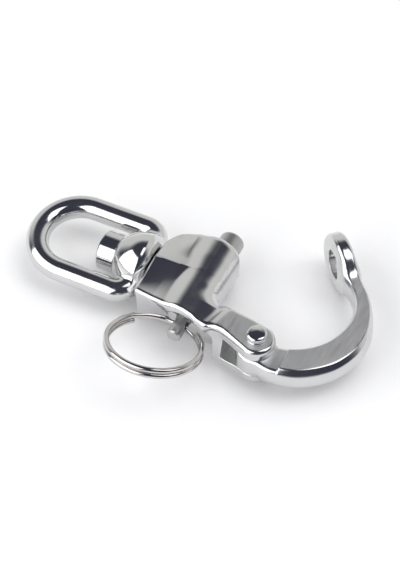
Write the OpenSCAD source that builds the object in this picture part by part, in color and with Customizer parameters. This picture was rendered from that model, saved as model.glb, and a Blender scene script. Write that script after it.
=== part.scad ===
// Swivel snap shackle in cast stainless steel, lying open on its underside.
// X runs along the swivel axis towards the hook, Y along the plunger towards its nose, Z is up.
// The origin is on the resting plane, under the middle of the whole shackle.
// Lengths named below are measured from the point where the swivel and plunger axes cross.

/* [Node] */
// Piece to draw, or "all" for the whole shackle

/* [Placement] */
// Distance from the resting plane up to the swivel axis
axis_h = 8.8; // [7:0.1:10]
// Shift that centres the whole shackle over the origin along X
shift_x = 2.7; // [0:0.1:8]
// Shift that centres the whole shackle over the origin along Y
shift_y = 4; // [0:0.1:10]

/* [Bail and hub] */
// Diameter of the bail's round bar
bar_d = 6.4; // [5:0.1:8]
// Clear width inside the bail, between its two legs
eye_width = 16.2; // [12:0.1:20]
// Distance from the plunger axis to the centre of the bail's round crown
crown_x = 38.8; // [34:0.1:45]
// Turn of the swivel eye about its axis, with the near leg lower
bail_turn = 5.4; // [-180:0.1:180]
// Centre radius of the elbows that turn the legs into the hub
elbow_r = 4.3; // [3.5:0.1:6]
// Distance from the plunger axis to the cross bar of the bail
cross_x = 18.6; // [17:0.1:22]
// Largest diameter of the barrel hub
hub_d = 17.6; // [15:0.1:20]
// Diameter of the hub's flat end under the bolt head
hub_end_d = 12; // [10:0.1:14]
// Length of the barrel hub
hub_len = 10.1; // [8:0.1:13]

/* [Swivel bolt] */
// Diameter of the bolt head
bolt_head_d = 11.2; // [9:0.1:14]
// Thickness of the bolt head
bolt_head_t = 5.4; // [4:0.1:7]
// Diameter of the bolt shank
bolt_d = 6.2; // [5:0.1:7]

/* [Body] */
// Full thickness of the body
body_t = 14; // [12:0.1:16]
// Distance from the plunger axis to the body's flat left end
body_left = 14.9; // [13:0.1:17]
// Distance from the plunger axis to the straight right side
body_right = 6.3; // [5:0.1:8]
// Distance from the swivel axis to the flat shoulder the nose comes out of
shoulder_y = 13.5; // [12:0.1:16]
// Radius of the far left corner, seen from above
corner_r = 9.5; // [7:0.1:11]
// Distance from the swivel axis to the near side at the left end
near_left = 12.1; // [11:0.1:14]
// Distance from the swivel axis to the near side at the stem
near_stem = 13.5; // [13:0.1:15]
// Depth of the shallow dish in the top and bottom faces
dish = 0.55; // [0:0.05:1.5]

/* [Clevis] */
// Distance of the hinge from the plunger axis
hinge_x = 22.2; // [19:0.1:24]
// Distance of the hinge from the swivel axis
hinge_y = 15; // [13:0.05:18]
// Direction of the ears, turned from the swivel axis towards the near side
ear_turn = 15; // [5:1:30]
// Radius of the round ear ends
ear_r = 5.1; // [4:0.1:7]
// Half width of the ears at their neck, beside the body
ear_neck = 3.6; // [3:0.1:5]
// Thickness over both ears
ear_t = 13.2; // [10:0.1:14]
// Radius of the ears' polished edges
ear_edge = 1.3; // [0.5:0.1:2]
// Height of the slot between the ears
slot_t = 6.4; // [5.2:0.1:7.2]
// Distance from the hinge to the back of the slot
slot_back = 8.1; // [7:0.1:10]

/* [Hinge rivet] */
// Diameter of the rivet shank
rivet_d = 4.4; // [3:0.1:5]
// Largest diameter of the domed head
rivet_head_d = 5.3; // [5:0.1:7]
// Height of the domed head above the ear
rivet_head_h = 2.3; // [1.5:0.1:3]
// Height of the peened head below the ear
rivet_tail_h = 0.9; // [0.5:0.1:1]

/* [Plunger] */
// Diameter of the plunger's nose
nose_d = 7; // [6:0.1:8]
// Distance from the swivel axis to the tip of the nose
nose_y = 18.5; // [16:0.1:20]
// Diameter of the plunger's stem
stem_d = 4.1; // [3.5:0.1:5]
// Distance from the swivel axis to the end of the stem
stem_y = 19.4; // [18:0.1:23]
// Distance from the end of the stem to its cross hole
hole_in = 4.6; // [4:0.1:6]
// Diameter of the cross hole
hole_d = 2.7; // [2.2:0.1:2.9]
// Distance of the plunger's inner shoulder from the swivel axis
step_y = 1.5; // [0:0.1:4]

/* [Spring] */
// Wire diameter of the plunger spring
spring_wire = 0.7; // [0.5:0.05:1]
// Number of turns of the plunger spring
spring_turns = 7; // [5:1:10]

/* [Ring] */
// Outside diameter of the split ring
ring_d = 26.4; // [22:0.1:30]
// Wire diameter of the split ring
ring_wire = 1.55; // [1.2:0.05:2]
// Upward slope of the ring from the stem to its outer side
ring_rise = 19.5; // [0:0.5:40]
// Turn of the ring's centre towards the bail, seen from above
ring_skew = 7; // [0:0.5:20]

/* [Hook] */
// Opening of the hook from its closed position
hook_open = 45.8; // [0:0.5:90]
// Distance of the closed eye plate's middle from the swivel axis
eye_y = 17.6; // [17:0.1:19]
// Outside diameter of the eye plate
plate_d = 17.2; // [14:0.1:19]
// Thickness of the eye plate
plate_t = 4.3; // [3:0.1:5]
// Diameter of the hole in the eye plate
eye_hole_d = 8.3; // [7.5:0.1:9]
// Centre radius of the hook's bow
bow_r = 18; // [15:0.1:21]
// Width of the arm from the bow's centre line to its inner side, at its root
arm_root_w = 4.3; // [3:0.1:5]
// The same width where the arm meets the eye plate
arm_tip_w = 2.1; // [1.5:0.1:2.5]
// Width of the arm from the bow's centre line to its outer side, at its widest
arm_back_w = 5.8; // [4:0.1:7]
// Thickness of the arm between its ground flats
arm_t = 7.6; // [6.5:0.1:9]
// Thickness of the tongue in the slot
tongue_t = 6.2; // [5:0.1:7]
// Radius of the tongue's round end
tongue_r = 5.4; // [4.5:0.1:6]
// Distance from the hinge to the arm's shoulder
shoulder_r = 8.2; // [7:0.1:10]

/* [Hidden] */
fine = 96;
steel = [0.80, 0.81, 0.83];
satin = [0.66, 0.67, 0.69];
wire = [0.58, 0.58, 0.60];
run_gap = 0.06;
place = [shift_x, shift_y, axis_h];
leg_y = (eye_width + bar_d) / 2;
hub_x = -body_left - 0.3;
hub_left = hub_x - hub_len;
nose_bore_r = nose_d / 2 + run_gap;
stem_bore_r = stem_d / 2 + run_gap;
spring_seat = -(near_stem - 4.1);
hole_y = -(stem_y - hole_in);
hinge = [hinge_x, -hinge_y, 0];
bow_c = [-9.8, 13.7];
eye_at = [-hinge_x, eye_y + hinge_y];

// ---------- helpers ----------
function lerp(a, b, t) = a + (b - a) * t;
function clamp01(t) = min(1, max(0, t));
function ease(t) = let(k = clamp01(t)) k * k * (3 - 2 * k);
function bend(v, p) = sign(v) * pow(abs(v), p);
function unit(v) = v / norm(v);

// Rings of equal length joined into one solid. Each ring runs anticlockwise seen against the
// direction of travel, and each end is closed by strips between its two halves.
function strip_at(k, m) = k % 2 == 1 ? (k + 1) / 2 : (m - k / 2) % m;
function strip_face(k, m) = let(a = strip_at(k, m), b = strip_at(k + 1, m), c = strip_at(k + 2, m))
    k % 2 == 0 ? [a, b, c] : [a, c, b];

module loft(rings) {
    m = len(rings[0]);
    n = len(rings);
    points = [for (r = rings) each r];
    sides = [for (j = [0:n - 2], i = [0:m - 1])
        let(a = j * m + i, b = j * m + (i + 1) % m)
        each [[a, b + m, b], [a, a + m, b + m]]];
    caps = [for (k = [0:m - 3]) let(f = strip_face(k, m), e = (n - 1) * m)
        each [f, [e + f[0], e + f[2], e + f[1]]]];
    polyhedron(points = points, faces = concat(sides, caps), convexity = 8);
}

// Ring of points round a tube's centre line at p, with axes u and w across it.
function tube_ring(p, u, w, r, m) =
    [for (i = [0:m - 1]) let(a = 360 * i / m) p + r * (cos(a) * u + sin(a) * w)];

// ---------- bail and hub ----------
module bar_leg(side) {
    translate([-crown_x, side * leg_y, 0]) rotate([0, 90, 0])
        cylinder(d = bar_d, h = crown_x - cross_x - elbow_r, $fn = fine);
    translate([-cross_x - elbow_r, side * (leg_y - elbow_r), 0])
        rotate_extrude(angle = side * 90, $fn = fine)
            translate([elbow_r, 0]) circle(d = bar_d, $fn = fine);
    translate([-cross_x, 0, 0]) rotate([-side * 90, 0, 0])
        cylinder(d = bar_d, h = leg_y - elbow_r, $fn = fine);
}

// Barrel radius at a distance from the bolt head's end: a full middle and a small round lip.
function hub_r(x) = let(d = hub_len - x)
    hub_d / 2 - (hub_d - hub_end_d) / 2 * pow(clamp01(1 - x / 7.2), 2)
    - 1.7 * pow(clamp01(1 - d / 2.6), 2.2);
module hub_profile() {
    steps = 16;
    polygon(concat([[0, 0]], [for (k = [0:steps]) let(x = hub_len * k / steps) [hub_r(x), x]], [[0, hub_len]]));
}

module swivel_eye() {
    color(steel) translate(place) rotate([bail_turn, 0, 0]) difference() {
        union() {
            translate([-crown_x, 0, 0]) rotate([0, 0, 90])
                rotate_extrude(angle = 180, $fn = fine)
                    translate([leg_y, 0]) circle(d = bar_d, $fn = fine);
            bar_leg(1);
            bar_leg(-1);
            translate([hub_left, 0, 0]) rotate([0, 90, 0])
                rotate_extrude($fn = fine) hub_profile();
        }
        translate([hub_left - 1, 0, 0]) rotate([0, 90, 0])
            cylinder(d = bolt_d + 2 * run_gap, h = hub_len + 2, $fn = fine);
    }
}

// ---------- swivel bolt ----------
module swivel_bolt() {
    color(steel) translate(place) translate([hub_left - run_gap - bolt_head_t, 0, 0]) rotate([0, 90, 0])
        rotate_extrude($fn = fine) {
            polygon([[0, 0], [bolt_head_d / 2 - 0.5, 0], [bolt_head_d / 2, 0.5],
                     [bolt_head_d / 2, bolt_head_t - 0.3], [bolt_head_d / 2 - 0.3, bolt_head_t],
                     [bolt_d / 2, bolt_head_t], [bolt_d / 2, bolt_len()], [0, bolt_len()]]);
        }
}

function bolt_len() = bolt_head_t + run_gap + hub_len + 0.3 + 9.4;

// ---------- shackle body ----------
// Near side of the body at x, negative towards the near side, with a soft swell beside the ears.
swell = 1.5;
swell_x = 6.3;
swell_w = 4.5;
function near_y(x) = -lerp(near_left, near_stem, ease((x + body_left) / body_left))
    - swell * pow(1 - clamp01(pow((x - swell_x) / swell_w, 2)), 2);

// Left and right outlines at y, before the left end is cut flat.
function left_x(y) = let(cy = shoulder_y - corner_r, cx = -body_left + corner_r)
    (y < cy ? -body_left : cx - sqrt(max(0.01, pow(corner_r, 2) - pow(y - cy, 2))))
    - 1.7 * (1 - ease((y - 3) / 5));
function right_x(y) = y > 9.6
    ? body_right - 4.3 + sqrt(max(0.01, 18.49 - pow(y - 9.6, 2)))
    : body_right + 7.6 * (1 - sqrt(1 - pow(clamp01((1.2 - y) / 10.2), 2)));

// Half thickness at a point of the outline's plane: lower towards the ears and the left end.
function half_t(x, y) = (body_t / 2)
    * (1 - 0.12 * ease((x - 9) / 5) - 0.05 * ease((-x - 9) / 6) - 0.15 * ease((y + 2) / 14));
function dish_at(x, y) = dish * exp(-(pow(x + 4.5, 2) / 26 + pow(y + 1.5, 2) / 70));

// Rounding of the near and far ends along y: [place from 0 to 1, share of the height].
end_steps = 5;
mid_steps = 20;
near_round = 2.6;
far_round = 2.2;
body_len = shoulder_y + near_stem;
function y_places() = concat(
    [for (k = [0:end_steps - 1]) near_round / body_len * (1 - cos(90 * k / end_steps))],
    [for (k = [0:mid_steps]) lerp(near_round, body_len - far_round, k / mid_steps) / body_len],
    [for (k = [end_steps - 1:-1:0]) 1 - far_round / body_len * (1 - cos(90 * k / end_steps))]);
function height_share(t) = let(a = t * body_len, b = (1 - t) * body_len)
    a < near_round ? 0.62 + 0.38 * sqrt(1 - pow(1 - a / near_round, 2))
    : b < far_round ? 0.66 + 0.34 * sqrt(1 - pow(1 - b / far_round, 2)) : 1;

section_pts = 48;
function body_ring(t) = let(
    y0 = lerp(-near_stem, shoulder_y, t),
    share = height_share(t),
    xl = left_x(y0) + 0.8 * (1 - share),
    xr = right_x(y0) - 1.6 * (1 - share))
    [for (i = [0:section_pts - 1]) let(
        a = -360 * i / section_pts,
        x = (xl + xr) / 2 + (xr - xl) / 2 * bend(cos(a), 0.62),
        z = half_t(x, y0) * share * bend(sin(a), 0.62),
        y = lerp(near_y(x), shoulder_y, t))
        [x, y, z - sign(z) * min(abs(z), share * dish_at(x, y) * pow(abs(sin(a)), 2))]];

// Clevis slab seen from above: a root inside the body and a round end about the hinge.
arc_pts = 24;
function ear_ring(inset, z) = concat(
    [[-15, -(ear_neck - inset), z], [-9, -(ear_neck + 0.3 - inset), z]],
    [for (k = [0:arc_pts]) let(a = lerp(-98, 101, k / arc_pts))
        [(ear_r - inset) * cos(a), (ear_r - inset) * sin(a), z]],
    [[-9.5, ear_neck - 0.4 - inset, z], [-15, ear_neck - 0.4 - inset, z]]);
edge_steps = 5;
function edge_rings(top) = [for (k = [0:edge_steps]) let(a = 90 * (top ? k : edge_steps - k) / edge_steps)
    ear_ring(ear_edge * (1 - cos(a)), (top ? 1 : -1) * (ear_t / 2 - ear_edge * (1 - sin(a))))];

module shackle_body() {
    color(steel) translate(place) difference() {
        union() {
            loft([for (t = y_places()) body_ring(t)]);
            translate(hinge) rotate([0, 0, -ear_turn]) loft(concat(edge_rings(false), edge_rings(true)));
        }
        // flat left end that faces the hub
        translate([-body_left - 10, -30, -20]) cube([10, 60, 40]);
        // slot between the ears
        translate(hinge) rotate([0, 0, -ear_turn]) translate([-slot_back, -15, -slot_t / 2])
            cube([30, 30, slot_t]);
        // hinge hole
        translate(hinge - [0, 0, 10]) cylinder(d = rivet_d, h = 20, $fn = fine);
        // plunger's bore from the far side, and the narrower stem bore
        translate([0, spring_seat, 0]) rotate([-90, 0, 0]) cylinder(r = nose_bore_r, h = 30, $fn = fine);
        translate([0, -30, 0]) rotate([-90, 0, 0]) cylinder(r = stem_bore_r, h = 30, $fn = fine);
        translate([0, -30, 0]) rotate([-90, 0, 0]) cylinder(r = 3, h = 30 - near_stem + 0.6, $fn = fine);
        // bolt bore in the left end
        translate([-body_left - 1, 0, 0]) rotate([0, 90, 0]) cylinder(d = bolt_d, h = 10.4, $fn = fine);
    }
}

// ---------- hinge rivet ----------
module hinge_rivet() {
    half = ear_t / 2;
    r = rivet_head_d / 2;
    color(steel) translate(place + hinge) rotate_extrude($fn = fine)
        polygon(concat(
            [[0, -half - rivet_tail_h], [r * 0.55, -half - rivet_tail_h], [r * 0.9, -half - 0.45], [r * 0.95, -half],
             [rivet_d / 2, -half], [rivet_d / 2, half], [r * 0.9, half], [r * 0.93, half + 0.3], [r * 0.88, half + 0.45]],
            [for (k = [0:10]) let(a = -20 + 110 * k / 10)
                [r * cos(a) * (a > 88 ? 0 : 1), half + 0.95 + (rivet_head_h - 0.95) * sin(a)]]));
}

// ---------- plunger ----------
module plunger() {
    color(satin) translate(place) difference() {
        translate([0, -stem_y, 0]) rotate([-90, 0, 0]) rotate_extrude($fn = fine)
            polygon(concat(
                [[0, 0], [stem_d / 2 - 0.4, 0], [stem_d / 2, 0.4], [stem_d / 2, stem_y + step_y],
                 [nose_d / 2, stem_y + step_y]],
                [for (k = [0:8]) let(a = 90 * k / 8)
                    [nose_d / 2 - 1 + cos(a), stem_y + nose_y - 1 + sin(a)]],
                [[0, stem_y + nose_y]]));
        translate([-5, hole_y, 0]) rotate([0, 90, 0]) cylinder(d = hole_d, h = 10, $fn = fine);
    }
}

// ---------- plunger spring ----------
module plunger_spring() {
    turns = spring_turns;
    r = (stem_d / 2 + nose_bore_r) / 2;
    y0 = spring_seat + spring_wire / 2 + 0.02;
    y1 = step_y - spring_wire / 2 - 0.02;
    color(wire) translate(place)
        loft([for (k = [0:turns * 16]) let(a = 360 * k / 16, t = ease(k / (turns * 16)) * 0.3 + 0.7 * k / (turns * 16),
            u = [cos(a), 0, sin(a)])
            tube_ring([r * cos(a), lerp(y0, y1, t), r * sin(a)], u, [0, 1, 0], spring_wire / 2, 8)]);
}

// ---------- split ring ----------
// The gap between the wire's ends lies at the stem, so a single strand passes its hole.
ring_r = (ring_d - ring_wire) / 2;
gap_left = 60;
gap_right = 31;
ring_span = 720 - gap_left - gap_right;
function ring_lift(a) = let(s = (a - (360 - gap_left - gap_right)) / (gap_left + gap_right))
    ring_wire * 1.03 * (clamp01(s) - 0.5);
module split_ring() {
    steps = 128;
    color(wire) translate(place) translate([0, hole_y, 0])
        rotate([-ring_rise, 0, 0]) rotate([0, 0, -ring_skew]) translate([0, -ring_r, 0])
            loft([for (k = [0:steps]) let(
                a = ring_span * k / steps,
                g = 90 + gap_left + a,
                p = [ring_r * cos(g), ring_r * sin(g), ring_lift(a)])
                tube_ring(p, [0, 0, 1], [cos(g), sin(g), 0], ring_wire / 2, 12)]);
}

// ---------- hook ----------
// Stations along the arm in the closed position, seen from the hinge: angle about the bow's centre.
function bow_radius(a) = lerp(bow_r, eye_at[1] - bow_c[1], ease((a - 25) / 60));
function arm_in(a) = lerp(arm_root_w, arm_tip_w, ease((a + 25) / 125));
function arm_out(a) = lerp(arm_tip_w, arm_back_w, lookup(a,
    [[-54, 0.4], [-38, 0.78], [-20, 0.95], [10, 1], [30, 0.9], [45, 0.64], [58, 0.34], [72, 0.12], [90, 0]]));
function bow_point(a) = bow_c + bow_radius(a) * [cos(a), sin(a)];
arm_sides = 28;
// Section of the arm: round sides, more on the back than inside, between two ground flats.
function arm_section(p, out, w_in, w_out) = [for (i = [0:arm_sides - 1]) let(
    a = -360 * (i + 0.5) / arm_sides,
    z = min(arm_t / 2, max(-arm_t / 2, arm_t * 0.62 * sin(a))),
    r = cos(a) * (cos(a) > 0 ? w_out : w_in))
    [p[0] + r * out[0], p[1] + r * out[1], z]];
arm_steps = 30;
arm_from = -54;
function arm_rings() = concat(
    [for (k = [0:arm_steps]) let(a = lerp(arm_from, 90, k / arm_steps))
        arm_section(bow_point(a), [cos(a), sin(a)], arm_in(a), arm_out(a))],
    [for (x = [bow_c[0] - 2.5, bow_c[0] - 5]) arm_section([x, eye_at[1]], [0, 1], arm_tip_w, arm_tip_w)]);

module eye_plate() {
    edge = 0.4;
    translate([eye_at[0], eye_at[1] + plate_t / 2, 0]) rotate([90, 0, 0]) rotate_extrude($fn = fine)
        polygon([[0, 0], [plate_d / 2 - edge, 0], [plate_d / 2 - edge * 0.3, edge * 0.3], [plate_d / 2, edge],
                 [plate_d / 2, plate_t - edge], [plate_d / 2 - edge * 0.3, plate_t - edge * 0.3],
                 [plate_d / 2 - edge, plate_t], [0, plate_t]]);
}

module hook() {
    color(steel) translate(place + hinge) rotate([0, 0, -hook_open]) difference() {
        union() {
            difference() {
                loft(arm_rings());
                for (s = [-1, 1]) translate([0, 0, s * (tongue_t / 2 + 5) - 5])
                    cylinder(r = shoulder_r, h = 10, $fn = fine);
            }
            translate([0, 0, -tongue_t / 2]) cylinder(r = tongue_r, h = tongue_t, $fn = fine);
            eye_plate();
        }
        translate([0, 0, -10]) cylinder(d = rivet_d + 2 * run_gap, h = 20, $fn = fine);
        translate([eye_at[0], eye_at[1] + 10, 0]) rotate([90, 0, 0]) cylinder(d = eye_hole_d, h = 20, $fn = fine);
    }
}

swivel_eye();
swivel_bolt();
shackle_body();
plunger();
plunger_spring();
split_ring();
hook();
hinge_rivet();
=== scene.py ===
"""Dresses the swivel snap shackle: its cast and wire forms, its steel finishes, and the studio it lies in.

Sizes in the classes are millimetres, measured from the point where the swivel axis (X) and the
plunger axis (Y) cross. Meshes are written in metres at the shackle's place over the origin.
A solid is a signed distance, negative inside, and each casting's skin is meshed from one.
"""

import enum
import itertools
import logging
import math
from dataclasses import dataclass
from typing import Callable, Optional

import bpy
import numpy as np
from mathutils import Matrix, Vector


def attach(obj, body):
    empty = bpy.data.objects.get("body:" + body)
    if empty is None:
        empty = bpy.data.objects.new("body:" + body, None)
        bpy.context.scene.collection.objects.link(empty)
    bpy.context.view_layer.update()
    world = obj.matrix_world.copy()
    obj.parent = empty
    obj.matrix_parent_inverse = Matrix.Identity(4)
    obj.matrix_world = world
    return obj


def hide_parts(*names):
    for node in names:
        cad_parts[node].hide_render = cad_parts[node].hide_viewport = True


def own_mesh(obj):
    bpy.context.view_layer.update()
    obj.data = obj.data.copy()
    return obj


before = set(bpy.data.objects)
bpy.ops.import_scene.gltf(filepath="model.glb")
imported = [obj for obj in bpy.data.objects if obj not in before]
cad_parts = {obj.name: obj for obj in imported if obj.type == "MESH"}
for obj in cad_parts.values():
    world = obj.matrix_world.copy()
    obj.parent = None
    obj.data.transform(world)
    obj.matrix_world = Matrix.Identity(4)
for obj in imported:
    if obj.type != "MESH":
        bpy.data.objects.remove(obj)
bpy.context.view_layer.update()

LOG = logging.getLogger("shackle")
PLACE = np.array([2.7, 4.0, 8.8])
MM = 0.001
CUT_BEVEL = 0.22

Points = np.ndarray
Values = np.ndarray
Faces = np.ndarray
Amount = float | np.ndarray
Field = Callable[[Points], Values]
Pair = tuple[float, float]
Triple = tuple[float, float, float]
Knots = tuple[Pair, ...]
Socket = bpy.types.NodeSocket

HINGE: Triple = (22.2, -15.0, 0.0)


# ---------------------------------------------------------------- shape functions


def ease(t: Values) -> Values:
    """Smooth step from 0 to 1 as t runs from 0 to 1."""
    k = np.clip(t, 0.0, 1.0)
    return k * k * (3.0 - 2.0 * k)


def rise(at: Values, start: float, over: float) -> Values:
    """Share that goes smoothly from 0 to 1 as the place climbs from start by over."""
    return ease((at - start) / over)


def fade(at: Values, start: float, over: float) -> Values:
    """Share that goes smoothly from 0 to 1 as the place drops from start by over."""
    return ease((start - at) / over)


def lerp(a: Amount, b: Amount, t: Values) -> Values:
    """Value between a and b at share t."""
    return a + (b - a) * t


def join(a: Values, b: Values, k: Amount) -> Values:
    """Joins two solids with a cast fillet.

    Args:
        a: Signed distance to the first solid.
        b: Signed distance to the second solid.
        k: Reach of the fillet in millimetres.

    Returns:
        Signed distance to both together.
    """
    h = np.maximum(k - np.abs(a - b), 0.0) / k
    return np.minimum(a, b) - h * h * h * k / 6.0


def rounded(a: Values, b: Values, r: Amount) -> Values:
    """Keeps what lies in both solids and rounds their common edge.

    Args:
        a: Signed distance to the first solid.
        b: Signed distance to the second solid.
        r: Radius of the edge.

    Returns:
        Signed distance to the part they share.
    """
    u = np.maximum(a + r, 0.0)
    v = np.maximum(b + r, 0.0)
    return np.minimum(np.maximum(a, b), -r) + np.hypot(u, v)


def turned(points: Points, degrees: float) -> tuple[Values, Values]:
    """Plan coordinates in axes turned about the origin.

    Args:
        points: Points as rows of x, y, z.
        degrees: Turn of the new axes, anticlockwise from above.

    Returns:
        The x and y of each point in the turned axes.
    """
    c, s = math.cos(math.radians(degrees)), math.sin(math.radians(degrees))
    return points[:, 0] * c + points[:, 1] * s, points[:, 1] * c - points[:, 0] * s


def along(at: Values, knots: Knots, soft: float = 1.0) -> Values:
    """Smooth curve near a row of knots.

    Args:
        at: Places to read the curve.
        knots: Pairs of place and value, in rising order of place.
        soft: Distance over which its corners are smoothed.

    Returns:
        The curve's value at each place.
    """
    places, values = zip(*knots)
    step = 0.05 * soft
    fine = np.arange(places[0] - 2.0 * soft, places[-1] + 2.0 * soft, step)
    window = np.hanning(2 * int(soft / step) + 1)
    raw = np.interp(fine, places, values)
    padded = np.pad(raw, len(window) // 2, mode="edge")
    return np.interp(at, fine, np.convolve(padded, window / window.sum(), "valid"))


@dataclass(frozen=True)
class Casting:
    """Turns a signed distance into an even mesh of quads that lies on the solid's skin."""

    cell: float = 0.27
    relaxing: int = 5
    pull: float = 0.6
    probe: float = 0.02
    least_slope: float = 0.04
    slab: int = 8

    def slope(self, solid: Field, points: Points) -> Points:
        """Measures how the distance changes round each point.

        Args:
            solid: Signed distance in millimetres.
            points: Places to measure it.

        Returns:
            The gradient at each point.
        """
        out = np.empty_like(points)
        for axis in range(3):
            move = np.zeros(3)
            move[axis] = self.probe
            out[:, axis] = (solid(points + move) - solid(points - move)) / (2.0 * self.probe)
        return out

    def settle(self, solid: Field, points: Points, rounds: int) -> Points:
        """Moves points along the gradient until they lie on the skin.

        Args:
            solid: Signed distance in millimetres.
            points: Points near the skin.
            rounds: How many times they are moved.

        Returns:
            The points on the skin.
        """
        for _ in range(rounds):
            g = self.slope(solid, points)
            size = np.maximum((g * g).sum(1), self.least_slope)
            move = np.clip(solid(points) / size, -self.cell, self.cell)
            points = points - move[:, None] * g
        return points

    def sample(self, solid: Field, low: Points, shape: tuple[int, int, int]) -> Values:
        """Reads the distance on the nodes of a regular grid, a few slabs at a time.

        Args:
            solid: Signed distance in millimetres.
            low: Lowest corner of the grid.
            shape: Nodes along x, y and z.

        Returns:
            The distance at each node.
        """
        values = np.empty(shape, np.float32)
        ys = low[1] + self.cell * np.arange(shape[1])
        zs = low[2] + self.cell * np.arange(shape[2])
        yy, zz = (g.ravel() for g in np.meshgrid(ys, zs, indexing="ij"))
        for start in range(0, shape[0], self.slab):
            xs = low[0] + self.cell * np.arange(start, min(start + self.slab, shape[0]))
            block = np.empty((len(xs) * len(yy), 3))
            block[:, 0] = np.repeat(xs, len(yy))
            block[:, 1] = np.tile(yy, len(xs))
            block[:, 2] = np.tile(zz, len(xs))
            values[start : start + len(xs)] = solid(block).reshape(len(xs), shape[1], shape[2])
        return values

    def crossings(self, values: Values) -> tuple[Points, Values]:
        """Finds the cells that the skin passes through.

        Args:
            values: Distance at each node of the grid.

        Returns:
            The skin's mean place in each such cell, counted in cells from the grid's corner,
            and the number of each cell's point, which is -1 where there is none.
        """
        corners = list(itertools.product((0, 1), repeat=3))

        def shifted(grid: Values, corner: tuple[int, int, int]) -> Values:
            """The grid's values at one corner of every cell."""
            return grid[tuple(slice(corner[a], grid.shape[a] - 1 + corner[a]) for a in range(3))]

        count = sum(shifted(values < 0, o).astype(np.int8) for o in corners)
        active = (count > 0) & (count < len(corners))
        found = int(active.sum())
        index = np.full(active.shape, -1, np.int64)
        index[active] = np.arange(found)
        total, hits = np.zeros((found, 3)), np.zeros(found)
        at = {o: shifted(values, o)[active] for o in corners}
        for a, axis in itertools.product(corners, range(3)):
            if a[axis] == 1:
                continue
            b = tuple(1 if n == axis else a[n] for n in range(3))
            cross = (at[a] < 0) != (at[b] < 0)
            spot = np.tile(np.array(a, float), (int(cross.sum()), 1))
            spot[:, axis] = at[a][cross] / (at[a][cross] - at[b][cross])
            total[cross] += spot
            hits[cross] += 1
        return np.argwhere(active) + total / hits[:, None], index

    def quads(self, inside: Values, index: Values) -> Faces:
        """Lays one quad round each grid edge that leaves the solid.

        Args:
            inside: Whether each node lies in the solid.
            index: Number of each cell's point.

        Returns:
            Rows of four point numbers, wound to face outwards.
        """
        faces = []
        for axis in range(3):
            u, v = [n for n in range(3) if n != axis]
            head = [slice(None)] * 3
            tail = [slice(None)] * 3
            head[axis], tail[axis] = slice(0, -1), slice(1, None)
            for n in (u, v):
                head[n] = tail[n] = slice(1, -1)
            a, b = inside[tuple(head)], inside[tuple(tail)]
            where = np.argwhere(a != b)
            around = []
            for du, dv in ((0, 0), (1, 0), (1, 1), (0, 1)):
                cell = where.copy()
                cell[:, u] += du
                cell[:, v] += dv
                around.append(index[tuple(cell.T)])
            ring = np.stack(around, 1)
            leaving = a[tuple(where.T)]
            if axis == 1:
                leaving = ~leaving
            faces.append(np.where(leaving[:, None], ring, ring[:, ::-1]))
        return np.concatenate(faces)

    def even(self, solid: Field, points: Points, quads: Faces) -> Points:
        """Spreads the points evenly over the skin.

        Args:
            solid: Signed distance in millimetres.
            points: Points on the skin.
            quads: Faces between them.

        Returns:
            The points, evenly spaced.
        """
        a = quads.ravel()
        b = np.roll(quads, -1, axis=1).ravel()
        ends, others = np.concatenate([a, b]), np.concatenate([b, a])
        weight = np.bincount(ends, minlength=len(points))
        for _ in range(self.relaxing):
            sums = [np.bincount(ends, points[others, n], len(points)) for n in range(3)]
            mean = np.stack(sums, 1) / weight[:, None]
            points = self.settle(solid, points + self.pull * (mean - points), 1)
        return self.settle(solid, points, 2)

    def skin(self, solid: Field, low: Triple, high: Triple) -> tuple[Points, Faces, Points]:
        """Meshes the solid inside a box.

        Args:
            solid: Signed distance in millimetres, negative inside.
            low: Lowest corner of the box.
            high: Highest corner of the box.

        Returns:
            Points on the skin, quads between them, and the outward normal at each point.
        """
        corner = np.array(low, float)
        shape = tuple(int(math.ceil((h - l) / self.cell)) + 1 for l, h in zip(low, high))
        values = self.sample(solid, corner, shape)
        spots, index = self.crossings(values)
        quads = self.quads(values < 0, index)
        points = self.settle(solid, corner + spots * self.cell, 3)
        points = self.even(solid, points, quads)
        normals = self.slope(solid, points)
        normals /= np.maximum(np.linalg.norm(normals, axis=1, keepdims=True), 1e-9)
        return points, quads, normals


def to_object(
    name: str, points: Points, faces: Faces, normals: Optional[Points] = None
) -> bpy.types.Object:
    """Makes a smooth mesh object from millimetre points.

    Args:
        name: Name of the piece.
        points: Points in millimetres from the crossing of the two axes.
        faces: Rows of point numbers.
        normals: Outward normal at each point, where it is known exactly.

    Returns:
        The new object, linked to the scene.
    """
    mesh = bpy.data.meshes.new(name)
    mesh.from_pydata(((points + PLACE) * MM).tolist(), [], [tuple(int(i) for i in f) for f in faces])
    mesh.validate()
    mesh.shade_smooth()
    if normals is not None and len(mesh.vertices) == len(normals):
        mesh.normals_split_custom_set_from_vertices(normals.tolist())
    piece = bpy.data.objects.new(name, mesh)
    bpy.context.scene.collection.objects.link(piece)
    return piece


def add_share(piece: bpy.types.Object, name: str, values: Values) -> None:
    """Stores a share at each point of a piece, for its finish to use.

    Args:
        piece: The piece.
        name: Name of the share.
        values: The share at each point, kept between 0 and 1.
    """
    layer = piece.data.attributes.new(name, "FLOAT", "POINT")
    layer.data.foreach_set("value", np.clip(values, 0.0, 1.0).astype(np.float32))


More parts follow.
